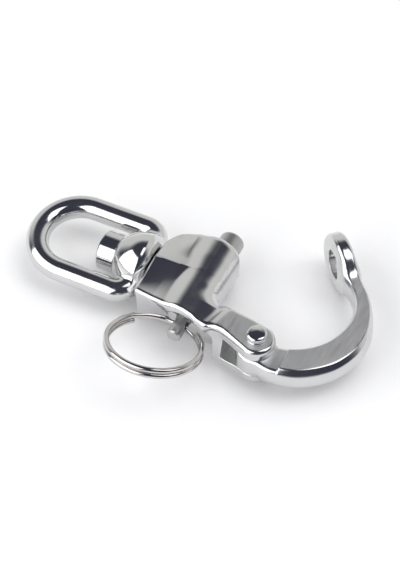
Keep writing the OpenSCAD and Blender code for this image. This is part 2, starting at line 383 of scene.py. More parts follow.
def wire_along(centres: Points, u: Points, w: Points, radius: float, sides: int) -> tuple[Points, list]:
    """Round wire along a line of centres, with small chamfers at its two cut ends.

    Args:
        centres: Centre of each station.
        u: First direction across the wire at each station.
        w: Second direction across the wire at each station.
        radius: Radius of the wire.
        sides: Points round the wire.

    Returns:
        Points and faces of the wire.
    """
    ahead = centres[0] - centres[1]
    behind = centres[-1] - centres[-2]
    ahead, behind = ahead / np.linalg.norm(ahead), behind / np.linalg.norm(behind)
    bevel = radius * CUT_BEVEL
    stations = [(centres[0] + ahead * bevel, u[0], w[0], radius - bevel)]
    stations += [(c, a, b, radius) for c, a, b in zip(centres, u, w)]
    stations += [(centres[-1] + behind * bevel, u[-1], w[-1], radius - bevel)]
    turn = np.linspace(0.0, 2.0 * math.pi, sides, endpoint=False)
    rings = [c + r * (np.outer(np.cos(turn), a) + np.outer(np.sin(turn), b)) for c, a, b, r in stations]
    faces = []
    for n, i in itertools.product(range(len(rings) - 1), range(sides)):
        j = (i + 1) % sides
        faces.append((n * sides + i, n * sides + j, (n + 1) * sides + j, (n + 1) * sides + i))
    last = (len(rings) - 1) * sides
    faces.append(tuple(range(sides - 1, -1, -1)))
    faces.append(tuple(last + i for i in range(sides)))
    return np.concatenate(rings), faces


# ---------------------------------------------------------------- finishes


class Skin(enum.Enum):
    """Two steel skins, cast and drawn, each paired with a slot name."""

    CAST = "polished_steel"
    DRAWN = "wire_steel"


class Blend(enum.Enum):
    """What a mix node mixes: its kind, its first input and its output."""

    COLOUR = ("RGBA", 6, 2)
    NUMBER = ("FLOAT", 2, 0)


class Nodes:
    """A short way to lay out one material's nodes."""

    def __init__(self, name: str) -> None:
        """Starts an empty material.

        Args:
            name: Name of the material.
        """
        self.material = bpy.data.materials.new(name)
        self.material.use_nodes = True
        self.tree = self.material.node_tree
        self.shader = self.tree.nodes["Principled BSDF"]

    def link(self, source: Socket, target: Socket) -> None:
        """Joins two sockets."""
        self.tree.links.new(source, target)

    def finish(self, colour: Socket, roughness: Socket, relief: Socket) -> bpy.types.Material:
        """Gives the bare metal its colour, roughness and relief.

        Args:
            colour: Colour of the metal.
            roughness: How rough it is.
            relief: Its fine relief.

        Returns:
            The finished material.
        """
        self.shader.inputs["Metallic"].default_value = 1.0
        self.link(colour, self.shader.inputs["Base Color"])
        self.link(roughness, self.shader.inputs["Roughness"])
        self.link(relief, self.shader.inputs["Normal"])
        return self.material

    def noise(self, scale: float, detail: float, stretch: Triple = (1.0, 1.0, 1.0)) -> Socket:
        """Noise over the piece's own coordinates.

        Args:
            scale: Lumps a metre.
            detail: How many finer layers it has.
            stretch: Share of the scale along each axis.

        Returns:
            The noise, from 0 to 1.
        """
        place = self.tree.nodes.new("ShaderNodeTexCoord")
        mapping = self.tree.nodes.new("ShaderNodeMapping")
        mapping.inputs["Scale"].default_value = stretch
        noise = self.tree.nodes.new("ShaderNodeTexNoise")
        noise.inputs["Scale"].default_value = scale
        noise.inputs["Detail"].default_value = detail
        self.link(place.outputs["Object"], mapping.inputs["Vector"])
        self.link(mapping.outputs["Vector"], noise.inputs["Vector"])
        return noise.outputs["Fac"]

    def ramp(self, value: Socket, low: float, high: float) -> Socket:
        """Maps the middle of a noise onto a range.

        Args:
            value: The noise.
            low: Number where it is 0.3 or less.
            high: Number where it is 0.7 or more.

        Returns:
            The number.
        """
        node = self.tree.nodes.new("ShaderNodeMapRange")
        node.inputs["From Min"].default_value = 0.3
        node.inputs["From Max"].default_value = 0.7
        node.inputs["To Min"].default_value = low
        node.inputs["To Max"].default_value = high
        self.link(value, node.inputs["Value"])
        return node.outputs["Result"]

    def tint(self, value: Socket, dark: Triple, light: Triple) -> Socket:
        """Colour between two fixed ones.

        Args:
            value: Share of the light one.
            dark: Colour at 0.
            light: Colour at 1.

        Returns:
            The colour.
        """
        node = self.tree.nodes.new("ShaderNodeMix")
        node.data_type = "RGBA"
        node.inputs[6].default_value = (*dark, 1.0)
        node.inputs[7].default_value = (*light, 1.0)
        self.link(value, node.inputs[0])
        return node.outputs[2]

    def mix(self, share: Socket, a: Socket, b: Socket, blend: Blend) -> Socket:
        """Number or colour between two others.

        Args:
            share: Share of the second one.
            a: The first one.
            b: The second one.
            blend: Whether they are numbers or colours.

        Returns:
            The number or colour.
        """
        kind, first, result = blend.value
        node = self.tree.nodes.new("ShaderNodeMix")
        node.data_type = kind
        self.link(share, node.inputs[0])
        self.link(a, node.inputs[first])
        self.link(b, node.inputs[first + 1])
        return node.outputs[result]

    def times(self, a: Socket, b: Socket) -> Socket:
        """One number times another.

        Args:
            a: The first number.
            b: The second number.

        Returns:
            Their product.
        """
        node = self.tree.nodes.new("ShaderNodeMath")
        node.operation = "MULTIPLY"
        self.link(a, node.inputs[0])
        self.link(b, node.inputs[1])
        return node.outputs[0]

    def bump(self, height: Socket, depth: float, under: Optional[Socket] = None) -> Socket:
        """Small relief from a height.

        Args:
            height: The height, from 0 to 1.
            depth: Depth of the relief in metres.
            under: Another relief that it lies on.

        Returns:
            The relief.
        """
        node = self.tree.nodes.new("ShaderNodeBump")
        node.inputs["Strength"].default_value = 1.0
        node.inputs["Distance"].default_value = depth
        self.link(height, node.inputs["Height"])
        if under is not None:
            self.link(under, node.inputs["Normal"])
        return node.outputs["Normal"]


@dataclass(frozen=True)
class MirrorSteel:
    """Cast stainless steel, buffed bright, with a faint orange-peel and fine pits."""

    name: str = "mirror_steel"
    dark: Triple = (0.60, 0.60, 0.61)
    light: Triple = (0.70, 0.70, 0.70)
    smooth: float = 0.07
    worn: float = 0.16
    patch_scale: float = 120.0
    grain_scale: float = 2300.0
    grain_depth: float = 0.000007
    swell_scale: float = 170.0
    swell_depth: float = 0.000012

    def layers(self, nodes: Nodes) -> tuple[Socket, Socket, Socket]:
        """Lays out the buffed skin.

        Args:
            nodes: Nodes of the material.

        Returns:
            Its colour, roughness and relief.
        """
        patches = nodes.noise(self.patch_scale, 3.0)
        swell = nodes.bump(nodes.noise(self.swell_scale, 1.0), self.swell_depth)
        grain = nodes.bump(nodes.noise(self.grain_scale, 2.0), self.grain_depth, swell)
        colour = nodes.tint(patches, self.dark, self.light)
        return colour, nodes.ramp(patches, self.smooth, self.worn), grain

    def build(self) -> bpy.types.Material:
        """Makes the material."""
        nodes = Nodes(self.name)
        return nodes.finish(*self.layers(nodes))


@dataclass(frozen=True)
class GroundSteel:
    """Bright cast steel whose flats are ground to an even satin, by the share stored on the piece."""

    name: str = "ground_steel"
    bright: MirrorSteel = MirrorSteel(smooth=0.11, worn=0.21, grain_depth=0.000009)
    flat_dark: Triple = (0.72, 0.72, 0.72)
    flat_light: Triple = (0.82, 0.82, 0.815)
    flat_rough: Pair = (0.42, 0.54)
    scratch_scale: float = 900.0
    scratch_stretch: Triple = (1.0, 0.16, 1.0)
    scratch_depth: float = 0.000004
    share: str = "ground"

    def build(self) -> bpy.types.Material:
        """Makes the material.

        Returns:
            The material.
        """
        nodes = Nodes(self.name)
        attribute = nodes.tree.nodes.new("ShaderNodeAttribute")
        attribute.attribute_name = self.share
        ground = attribute.outputs["Fac"]
        scratch = nodes.noise(self.scratch_scale, 4.0, self.scratch_stretch)
        bright, shine, grain = self.bright.layers(nodes)
        flat = nodes.tint(scratch, self.flat_dark, self.flat_light)
        satin = nodes.ramp(scratch, *self.flat_rough)
        colour = nodes.mix(ground, bright, flat, Blend.COLOUR)
        roughness = nodes.mix(ground, shine, satin, Blend.NUMBER)
        relief = nodes.bump(nodes.times(scratch, ground), self.scratch_depth, grain)
        return nodes.finish(colour, roughness, relief)


@dataclass(frozen=True)
class LathedSteel:
    """Turned bar steel with fine rings left by the tool, stretched across one axis."""

    name: str = "plunger_steel"
    dark: Triple = (0.42, 0.42, 0.42)
    light: Triple = (0.55, 0.55, 0.55)
    smooth: float = 0.34
    worn: float = 0.46
    cloud_scale: float = 300.0
    ring_scale: float = 2200.0
    ring_stretch: Triple = (0.15, 1.0, 0.15)
    ring_depth: float = 0.000004

    def build(self) -> bpy.types.Material:
        """Makes the material.

        Returns:
            The material.
        """
        nodes = Nodes(self.name)
        rings = nodes.noise(self.ring_scale, 3.0, self.ring_stretch)
        colour = nodes.tint(nodes.noise(self.cloud_scale, 2.0), self.dark, self.light)
        shine = nodes.ramp(rings, self.smooth, self.worn)
        return nodes.finish(colour, shine, nodes.bump(rings, self.ring_depth))


@dataclass(frozen=True)
class DrawnSteel(LathedSteel):
    """Spring wire: smoother and brighter than turned bar, a little warm, with the die's faint marks."""

    name: str = "drawn_wire"
    dark: Triple = (0.50, 0.485, 0.475)
    light: Triple = (0.66, 0.645, 0.63)
    smooth: float = 0.06
    worn: float = 0.13
    ring_stretch: Triple = (0.5, 0.5, 0.5)


# ---------------------------------------------------------------- swivel eye


@dataclass
class SwivelEye:
    """The bail of round bar and the barrel hub it is cast onto."""

    bar_d: float = 6.4
    eye_width: float = 16.2
    crown_x: float = 38.8
    cross_x: float = 18.6
    elbow_r: float = 4.3
    bail_turn: float = 5.4
    hub_d: float = 17.6
    hub_end_d: float = 12.0
    hub_len: float = 10.1
    hub_right: float = -15.2
    hub_edge: float = 0.35
    cone_len: float = 7.2
    lip_len: float = 2.4
    lip_drop: float = 2.6
    lip_curve: float = 1.7
    bore_r: float = 3.16
    bore_left: float = -27.0
    bore_edge: float = 0.2
    fillet: float = 1.8
    probe: float = 0.05
    box_low: Triple = (-54.0, -16.0, -10.0)
    box_high: Triple = (-13.5, 16.0, 10.0)

    def bar(self, p: Points) -> Values:
        """Bent round bar of the bail.

        Args:
            p: Points in the bail's turned axes.

        Returns:
            Signed distance to the bar.
        """
        x, y, z = p[:, 0], np.abs(p[:, 1]), p[:, 2]
        leg_y = (self.eye_width + self.bar_d) / 2.0
        bend_x, bend_y = -self.cross_x - self.elbow_r, leg_y - self.elbow_r
        crown = np.abs(np.hypot(x + self.crown_x, y) - leg_y)
        leg = np.hypot(x - np.clip(x, -self.crown_x, bend_x), y - leg_y)
        cross = np.hypot(x + self.cross_x, y - np.clip(y, 0.0, bend_y))
        elbow = np.abs(np.hypot(x - bend_x, y - bend_y) - self.elbow_r)
        plan = np.where(x < -self.crown_x, crown, np.minimum(leg, cross))
        plan = np.where((x > bend_x) & (y > bend_y), elbow, plan)
        return np.hypot(plan, z) - self.bar_d / 2.0

    def hub_radius(self, reach: Values) -> Values:
        """Outline of the hub: a swelling cone that ends in a turned-down lip.

        Args:
            reach: Distance from the end that faces the bolt's head.

        Returns:
            Radius there.
        """
        cone = np.clip(1.0 - reach / self.cone_len, 0.0, 1.0) ** 2
        lip = np.clip(1.0 - (self.hub_len - reach) / self.lip_len, 0.0, 1.0) ** self.lip_curve
        return self.hub_d / 2.0 - (self.hub_d - self.hub_end_d) / 2.0 * cone - self.lip_drop * lip

    def hub(self, p: Points) -> Values:
        """Barrel hub on the swivel's axis.

        Args:
            p: Points in the bail's turned axes.

        Returns:
            Signed distance to the hub.
        """
        reach = p[:, 0] - (self.hub_right - self.hub_len)
        near = np.clip(reach, 0.0, self.hub_len)
        ahead, behind = self.hub_radius(near + self.probe), self.hub_radius(near - self.probe)
        slope = (ahead - behind) / (2.0 * self.probe)
        side = (np.hypot(p[:, 1], p[:, 2]) - self.hub_radius(near)) / np.sqrt(1.0 + slope * slope)
        return rounded(side, np.maximum(-reach, reach - self.hub_len), self.hub_edge)

    def solid(self, p: Points) -> Values:
        """Whole eye, bored for the bolt.

        Args:
            p: Points in millimetres.

        Returns:
            Signed distance to the eye.
        """
        y, z = turned(p[:, [1, 2, 0]], self.bail_turn)
        q = np.stack([p[:, 0], y, z], 1)
        body = join(self.bar(q), self.hub(q), self.fillet)
        bore = np.maximum(np.hypot(y, z) - self.bore_r, self.bore_left - p[:, 0])
        return rounded(body, -bore, self.bore_edge)

    def build(self, finish: bpy.types.Material) -> bpy.types.Object:
        """Makes the eye and dresses it.

        Args:
            finish: Its steel.

        Returns:
            The piece.
        """
        piece = to_object("swivel_eye_cast", *Casting().skin(self.solid, self.box_low, self.box_high))
        piece.data.materials.append(finish)
        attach(piece, "eye")
        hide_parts("swivel_eye")
        return piece


# ---------------------------------------------------------------- shackle body


@dataclass
class ShackleBody:
    """The cast body: the plunger barrel, the swivel block beside it, and the clevis ears.

    A pair of numbers that a share runs over is the place where it starts and the way it takes.
    """

    top: float = 7.0
    left: float = 14.9
    right: float = 6.3
    shoulder: float = 13.5
    corner_r: float = 8.4
    right_round: Pair = (9.6, 4.3)
    right_steep: float = 0.97
    flare: float = 0.2
    flare_from: float = -3.6
    flare_len: float = 6.5
    barrel_x: float = -0.5
    barrel_r: float = 7.0
    barrel_foot: float = 0.6
    right_sink: Pair = (3.5, 7.5)
    ridge: float = 6.15
    ridge_lean: float = 0.05
    ridge_at: Pair = (-4.0, -0.3)
    valley: float = 0.85
    dish_start: float = 3.9
    dish_lean: float = 0.45
    dish_from: float = -2.2
    dish_len: float = 13.0
    dish_full: float = 7.0
    dish_far: Pair = (14.0, 0.8)
    far_slope: float = 0.125
    corner_drop: float = 0.05
    corner_from: float = -7.0
    corner_len: float = 9.0
    corner_over: float = 6.0
    far_rim: float = 1.3
    rim_away: Pair = (2.0, 12.5)
    rim_right: Pair = (-11.5, 5.5)
    crest_soft: Pair = (1.6, 3.2)
    near_back: float = -12.7
    back_down: Pair = (5.0, 9.0)
    back_left: Pair = (8.5, 4.0)
    edges: tuple[float, float, float] = (1.0, 2.8, 1.3)
    right_edge: Pair = (3.9, 6.0)
    edge_over: Pair = (-12.0, 12.0)
    hinge: Triple = HINGE
    ear_turn: float = -15.0
    ear_r: float = 5.1
    ear_half: float = 6.6
    ear_edge: float = 1.3
    ear_len: float = 16.5
    ear_under: float = 5.3
    under_down: Pair = (4.0, 8.0)
    under_left: Pair = (-1.0, 6.0)
    ear_step: float = 0.9
    step_left: Pair = (-10.6, 3.0)
    ear_sink: float = 3.0
    sink_left: Pair = (-13.0, 3.5)
    ear_fillet: float = 3.4
    slot_half: float = 3.2
    slot_back: float = 8.1
    bore_r: float = 3.56
    bore_floor: float = -9.4
    stem_r: float = 2.11
    face_r: float = 4.7
    face_len: float = 5.6
    face_y: float = -12.9
    face_edge: float = 0.5
    bolt_r: float = 3.1
    bolt_end: float = -5.4
    rivet_r: float = 2.2
    cut_edge: float = 0.28
    near_line: Knots = (
        (-14.9, -13.3), (-9.0, -14.2), (-3.4, -14.9), (0.3, -15.2),
        (3.0, -15.9), (4.7, -16.6), (7.4, -17.0), (11.0, -16.4),
    )
    ear_near: Knots = (
        (-16.5, 6.3), (-13.7, 5.7), (-12.6, 4.9), (-11.0, 4.2),
        (-9.2, 3.95), (-7.0, 4.2), (-2.7, 4.75), (0.0, 5.1),
    )
    ear_far: Knots = ((-16.0, 3.6), (-13.3, 4.2), (-11.2, 4.15), (-9.5, 4.2), (-5.4, 4.75), (0.0, 5.1))
    level_from: Pair = (0.965, 0.03)
    ground_up: Pair = (6.3, 0.25)
    ground_right: Pair = (-12.2, 0.8)
    slot_front: float = 6.0
    slot_share: float = 0.8
    box_low: Triple = (-16.0, -23.0, -8.0)
    box_high: Triple = (29.0, 16.5, 8.0)

    def right_wall(self, y: Values) -> tuple[Values, Values]:
        """Right outline, flared towards the ears.

        Args:
            y: Places along the barrel.

        Returns:
            The outline's x at each place, and how fast it moves with y.
        """
        start, r = self.right_round
        far = np.clip((y - start) / r, 0.0, self.right_steep)
        near = np.clip(self.flare_from - y, 0.0, self.flare_len)
        wall = self.right - r * (1.0 - np.sqrt(1.0 - far * far)) + self.flare * near * near
        return wall, far / np.sqrt(1.0 - far * far) + 2.0 * self.flare * near

    def crest(self, x: Values) -> Values:
        """Half height of the barrel's round top, which sinks towards its right side.

        Args:
            x: Places along the swivel's axis.

        Returns:
            The half height at each place.
        """
        aside = np.clip(self.barrel_x - x, 0.0, self.barrel_r - self.barrel_foot)
        arch = np.sqrt(self.barrel_r**2 - aside * aside)
        return arch - (self.barrel_r - self.top) - rise(x, *self.right_sink)

    def block(self, x: Values, y: Values) -> Values:
        """Half height of the swivel block: dished on the near side of its ridge, falling beyond it.

        Args:
            x: Places along the swivel's axis.
            y: Places across it.

        Returns:
            The half height at each place.
        """
        s = self.ridge_lean * (x - self.ridge_at[0]) + self.ridge_at[1] - y
        low = self.dish_start + self.dish_lean * np.clip(self.dish_from - x, 0.0, self.dish_len)
        side = np.where(s < low, low, self.dish_far[0] - self.dish_far[1] * low)
        depth = self.valley * np.minimum(low / self.dish_full, 1.0)
        dished = self.ridge - depth * (1.0 - ((s - low) / side) ** 2)
        corner = np.clip(self.corner_from - x, 0.0, self.corner_len)
        corner = corner * np.clip(y / self.corner_over, 0.0, 1.5)
        rim = self.far_rim * rise(y, *self.rim_away) * rise(x, *self.rim_right)
        fall = self.ridge + self.far_slope * s - self.corner_drop * corner + rim
        return np.where(s > 0.0, dished, fall)

    def top_height(self, x: Values, y: Values) -> Values:
        """Half height of the whole top.

        Args:
            x: Places along the swivel's axis.
            y: Places across it.

        Returns:
            The half height at each place.
        """
        soft = lerp(*self.crest_soft, ease(y / self.corner_over))
        return -join(-self.crest(x), -self.block(x, y), soft)

    def near_wall(self, x: Values, z: Values) -> Values:
        """Near side, drawn back below the rim on the block's side.

        Args:
            x: Places along the swivel's axis.
            z: Heights over it.

        Returns:
            The wall's y at each place.
        """
        line = along(x, self.near_line)
        back = fade(z, *self.back_down) * fade(x, *self.back_left)
        return line + back * np.maximum(self.near_back - line, 0.0)

    def ears(self, p: Points) -> Values:
        """Both ears as one solid, before the slot between them.

        Args:
            p: Points in millimetres.

        Returns:
            Signed distance to the ears.
        """
        u, v = turned(p - np.array(self.hinge), self.ear_turn)
        z = p[:, 2]
        near = along(u, self.ear_near)
        under = fade(z, *self.under_down) * np.maximum(self.ear_under - near, 0.0)
        near = near + under * fade(u, *self.under_left)
        far = along(u, self.ear_far)
        sides = np.where(v < 0.0, -v - near, v - far) * 0.95
        plan = np.where(u > 0.0, np.hypot(u, v) - self.ear_r, sides)
        half = self.ear_half - self.ear_step * fade(u, *self.step_left)
        half = half - self.ear_sink * fade(u, *self.sink_left)
        slab = rounded(plan, (np.abs(z) - half) * 0.88, self.ear_edge)
        return np.maximum(slab, -(u + self.ear_len))

    def hollows(self, p: Points) -> Values:
        """Everything cut out of the body: slot, plunger bore, stem hole and face, bolt and rivet holes.

        Args:
            p: Points in millimetres.

        Returns:
            Signed distance to what is cut out.
        """
        x, y, z = p.T
        u, v = turned(p - np.array(self.hinge), self.ear_turn)
        across = np.hypot(x, z)
        slot = np.maximum(np.abs(z) - self.slot_half, -(u + self.slot_back))
        bore = np.maximum(across - self.bore_r, self.bore_floor - y)
        stem = np.maximum(across - self.stem_r, y)
        milled = np.hypot(x - np.clip(x, 0.0, self.face_len), np.maximum(z, 0.0)) - self.face_r
        face = rounded(milled, y - self.face_y, self.face_edge)
        bolt = np.maximum(np.hypot(y, z) - self.bolt_r, x - self.bolt_end)
        rivet = np.hypot(u, v) - self.rivet_r
        return np.minimum.reduce([slot, bore, stem, face, bolt, rivet])

    def solid(self, p: Points) -> Values:
        """Whole body. The shares near 1 keep sloping sides close to true distance.

        Args:
            p: Points in millimetres.

        Returns:
            Signed distance to the body.
        """
        x, y, z = p.T
        top = (np.abs(z) - self.top_height(x, y)) * 0.95
        wall, slope = self.right_wall(y)
        right = (x - wall) / np.sqrt(1.0 + slope * slope)
        left = rounded(-(x + self.left), y - self.shoulder, self.corner_r)
        near = (self.near_wall(x, z) - y) * 0.96
        core = top
        for side, edge in zip((left, y - self.shoulder, near), self.edges):
            core = rounded(core, side, edge)
        core = rounded(core, right, lerp(*self.right_edge, rise(y, *self.edge_over)))
        whole = join(core, self.ears(p), self.ear_fillet)
        return rounded(whole, -self.hollows(p), self.cut_edge)

    def ground_share(self, p: Points, normals: Points) -> Values:
        """Share of grinding: full on the flat tops of the ears, less inside the slot.

        Args:
            p: Points on the skin.
            normals: Outward normal at each.

        Returns:
            The share at each point.
        """
        u, _ = turned(p - np.array(self.hinge), self.ear_turn)
        up = np.abs(p[:, 2])
        level = rise(np.abs(normals[:, 2]), *self.level_from)
        flat = level * rise(up, *self.ground_up) * rise(u, *self.ground_right)
        slot = (up < self.slot_half + 0.05) & (u > -self.slot_back - 0.05) & (u < self.slot_front)
        return np.maximum(flat, self.slot_share * slot)

    def build(self, finish: bpy.types.Material) -> bpy.types.Object:
        """Makes the body and dresses it.

        Args:
            finish: Its steel.

        Returns:
            The piece.
        """
        points, quads, normals = Casting().skin(self.solid, self.box_low, self.box_high)
        piece = to_object("shackle_body_cast", points, quads, normals)
        add_share(piece, "ground", self.ground_share(points, normals))
        piece.data.materials.append(finish)
        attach(piece, "body")
        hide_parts("shackle_body")
        return piece


# ---------------------------------------------------------------- hook


@dataclass
class Hook:
    """The hook: tongue, round-backed bow with ground flats, and the eye plate at its end."""

    hinge: Triple = HINGE
    opening: float = 45.8
    bow: Pair = (-9.8, 13.7)
    bow_r: float = 18.0
    bow_turn: Pair = (-60.0, 90.0)
    widen: Pair = (25.0, 60.0)
    eye: Pair = (-22.2, 32.6)
    plate_r: float = 8.6
    plate_half: float = 2.15
    plate_edge: float = 1.35
    plate_fillet: float = 4.5
    eye_hole_r: float = 4.15
    eye_edge: float = 0.4
    flat_half: float = 3.8
    flat_edge: float = 0.22
    crown_half: float = 4.7
    tongue_half: float = 3.1
    tongue_r: float = 5.4
    tongue_edge: float = 0.9
    root_edge: float = 0.7
    root_fillet: float = 1.4
    shoulder: float = 8.2
    shoulder_way: Pair = (0.70, 0.714)
    shoulder_edge: float = 0.25
    step_fillet: float = 0.5
    pin_r: float = 2.26
    pin_edge: float = 0.2
    inner: Pair = (4.3, 2.1)
    inner_over: Pair = (-25.0, 125.0)
    outer: Pair = (2.1, 5.8)
    outer_core: float = 0.18
    inner_core: float = 0.22
    least_steep: float = 0.12
    heel: Triple = (0.1, 0.9, -4.6)
    heel_way: Pair = (0.809, 0.588)
    heel_at: Pair = (0.78, -0.86)
    back_share: Knots = (
        (-54, 0.4), (-38, 0.78), (-20, 0.95), (10, 1.0), (30, 0.9),
        (45, 0.64), (58, 0.34), (72, 0.12), (90, 0.0),
    )
    back_soft: float = 6.0
    level_from: Pair = (0.955, 0.03)
    ground_up: Pair = (2.9, 0.15)
    plate_clear: float = 9.0
    face_left: float = -12.0
    box_low: Triple = (15.5, -22.0, -9.5)
    box_high: Triple = (51.0, 33.5, 9.5)

    def axes(self, p: Points) -> tuple[Values, Values, Values]:
        """Coordinates from the hinge in the closed hook's axes."""
        x, y = turned(p - np.array(self.hinge), -self.opening)
        return x, y, p[:, 2]

    def section(self, x: Values, y: Values, z: Values) -> Values:
        """Round section of the bow, before its flats are ground.

        Args:
            x: Place along the closed hook's eye plate.
            y: Place across it.
            z: Height.

        Returns:
            Signed distance to the section.
        """
        dx, dy = x - self.bow[0], y - self.bow[1]
        angle = np.degrees(np.arctan2(dy, dx))
        angle = np.where(angle < -120.0, angle + 360.0, angle)
        turn = np.clip(angle, *self.bow_turn)
        centre = lerp(self.bow_r, self.eye[1] - self.bow[1], rise(turn, *self.widen))
        out = np.where(angle > self.bow_turn[1], y - self.eye[1], np.hypot(dx, dy) - centre)
        back = lerp(*self.outer, along(turn, self.back_share, self.back_soft))
        front = lerp(*self.inner, rise(turn, *self.inner_over))
        core = np.where(out > 0.0, self.outer_core * back, self.inner_core * front)
        reach = np.where(out > 0.0, back, front) - core
        wide = np.maximum((np.abs(out) - core) / reach, 0.0)
        size = np.hypot(wide, z / self.crown_half)
        steep = np.hypot(wide / reach, z / self.crown_half**2) / np.maximum(size, 1e-6)
        return (size - 1.0) / np.maximum(steep, self.least_steep)

    def arm(self, x: Values, y: Values, z: Values) -> Values:
        """Tongue at the hinge and the bow that grows out of it.

        Args:
            x: Place along the closed hook's eye plate.
            y: Place across it.
            z: Height.

        Returns:
            Signed distance to both together.
        """
        up = np.abs(z)
        section = self.section(x, y, z)
        below = -(y - self.heel[2]) * self.heel[1] - self.heel[0] * x
        behind = -self.heel_way[0] * (x - self.heel_at[0]) - self.heel_way[1] * (y - self.heel_at[1])
        start = np.maximum(below, behind)
        step = self.shoulder - (x * self.shoulder_way[0] + y * self.shoulder_way[1])
        bow = np.maximum(rounded(section, up - self.flat_half, self.flat_edge), start)
        bow = rounded(bow, step, self.shoulder_edge)
        root = np.maximum(rounded(section, up - self.tongue_half, self.root_edge), start)
        tongue = rounded(np.hypot(x, y) - self.tongue_r, up - self.tongue_half, self.tongue_edge)
        return join(join(root, tongue, self.root_fillet), bow, self.step_fillet)

    def solid(self, p: Points) -> Values:
        """Whole hook, drilled for the rivet and the plunger.

        Args:
            p: Points in millimetres.

        Returns:
            Signed distance to the hook.
        """
        x, y, z = self.axes(p)
        across = np.hypot(x - self.eye[0], z)
        plate = np.abs(y - self.eye[1]) - self.plate_half
        plate = rounded(across - self.plate_r, plate, self.plate_edge)
        whole = join(self.arm(x, y, z), plate, self.plate_fillet)
        whole = rounded(whole, self.pin_r - np.hypot(x, y), self.pin_edge)
        return rounded(whole, self.eye_hole_r - across, self.eye_edge)

    def ground_share(self, p: Points, normals: Points) -> Values:
        """Share of grinding: full on the bow's flats, the tongue and the plate's inner face.

        Args:
            p: Points on the skin.
            normals: Outward normal at each.

        Returns:
            The share at each point.
        """
        x, y, z = self.axes(p)
        flat = rise(np.abs(normals[:, 2]), *self.level_from) * rise(np.abs(z), *self.ground_up)
        flat = flat * (np.hypot(x - self.eye[0], y - self.eye[1]) > self.plate_clear)
        inner_y = self.eye[1] - self.plate_half
        on_plate = (y < inner_y + 0.12) & (y > inner_y - 1.0)
        face = on_plate & (np.hypot(x - self.eye[0], z) < self.plate_r) & (x < self.face_left)
        return np.maximum(flat, face)

    def build(self, finish: bpy.types.Material) -> bpy.types.Object:
        """Makes the hook and dresses it.

        Args:
            finish: Its steel.

        Returns:
            The piece.
        """
        points, quads, normals = Casting().skin(self.solid, self.box_low, self.box_high)
        piece = to_object("hook_forging", points, quads, normals)
        add_share(piece, "ground", self.ground_share(points, normals))
        piece.data.materials.append(finish)
        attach(piece, "hook")
        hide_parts("hook")
        return piece


# ---------------------------------------------------------------- wire parts


@dataclass
class SplitRing:
    """The pull ring: two turns of drawn wire with stepped strands and cut ends."""

    outside_d: float = 26.7
    wire_d: float = 1.55
    strand_room: float = 1.03
    rise: float = 18.4
    skew: float = 8.8
    hole_y: float = -14.8
    gap_left: float = 60.0
    gap_right: float = 31.0
    steps: int = 300
    sides: int = 20

    def build(self, finish: bpy.types.Material) -> bpy.types.Object:
        """Makes the ring and dresses it.

        Args:
            finish: Its steel.

        Returns:
            The piece.
        """
        radius = (self.outside_d - self.wire_d) / 2.0
        gap = self.gap_left + self.gap_right
        wound = np.linspace(0.0, 720.0 - self.gap_left - self.gap_right, self.steps)
        share = np.clip((wound - (360.0 - gap)) / gap, 0.0, 1.0)
        lift = self.wire_d * self.strand_room * (share - 0.5)
        angle = np.radians(90.0 + self.gap_left + wound)
        flat = np.zeros_like(angle)
        out = np.stack([np.cos(angle), np.sin(angle), flat], 1)
        centres = radius * out + np.stack([flat, flat, lift], 1) - np.array([0.0, radius, 0.0])
        lie = Matrix.Rotation(math.radians(-self.rise), 3, "X")
        lie = lie @ Matrix.Rotation(math.radians(-self.skew), 3, "Z")
        tilt = np.array(lie)
        up = np.tile(np.array([0.0, 0.0, 1.0]), (len(out), 1))
        line = centres @ tilt.T + np.array([0.0, self.hole_y, 0.0])
        points, faces = wire_along(line, up @ tilt.T, out @ tilt.T, self.wire_d / 2.0, self.sides)
        piece = to_object("split_ring_wire", points, faces)
        piece.data.materials.append(finish)
        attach(piece, "ring")
        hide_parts("split_ring")
        return piece


@dataclass
class PlungerSpring:
    """The coil spring round the stem, inside the body."""

    wire_d: float = 0.7
    turns: int = 7
    mean_r: float = 2.805
    seat: float = -9.4
    shoulder: float = 1.5
    seat_gap: float = 0.02
    closed_share: float = 0.3
    travel: float = 5.0
    per_turn: int = 28
    sides: int = 12

    def build(self, finish: bpy.types.Material) -> bpy.types.Object:
        """Makes the spring and dresses it.

        Args:
            finish: Its steel.

        Returns:
            The piece.
        """
        share = np.linspace(0.0, 1.0, self.turns * self.per_turn + 1)
        angle = 2.0 * math.pi * self.turns * share
        climb = self.closed_share * ease(share) + (1.0 - self.closed_share) * share
        start = self.seat + self.wire_d / 2.0 + self.seat_gap
        end = self.shoulder - self.wire_d / 2.0 - self.seat_gap
        out = np.stack([np.cos(angle), np.zeros_like(angle), np.sin(angle)], 1)
        centres = self.mean_r * out
        centres[:, 1] = lerp(start, end, climb)
        axis = np.tile(np.array([0.0, 1.0, 0.0]), (len(out), 1))
        points, faces = wire_along(centres, out, axis, self.wire_d / 2.0, self.sides)
        piece = to_object("plunger_spring_wire", points, faces)
        piece.data.materials.append(finish)
        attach(piece, "body")
        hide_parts("plunger_spring")
        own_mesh(piece)
        return piece


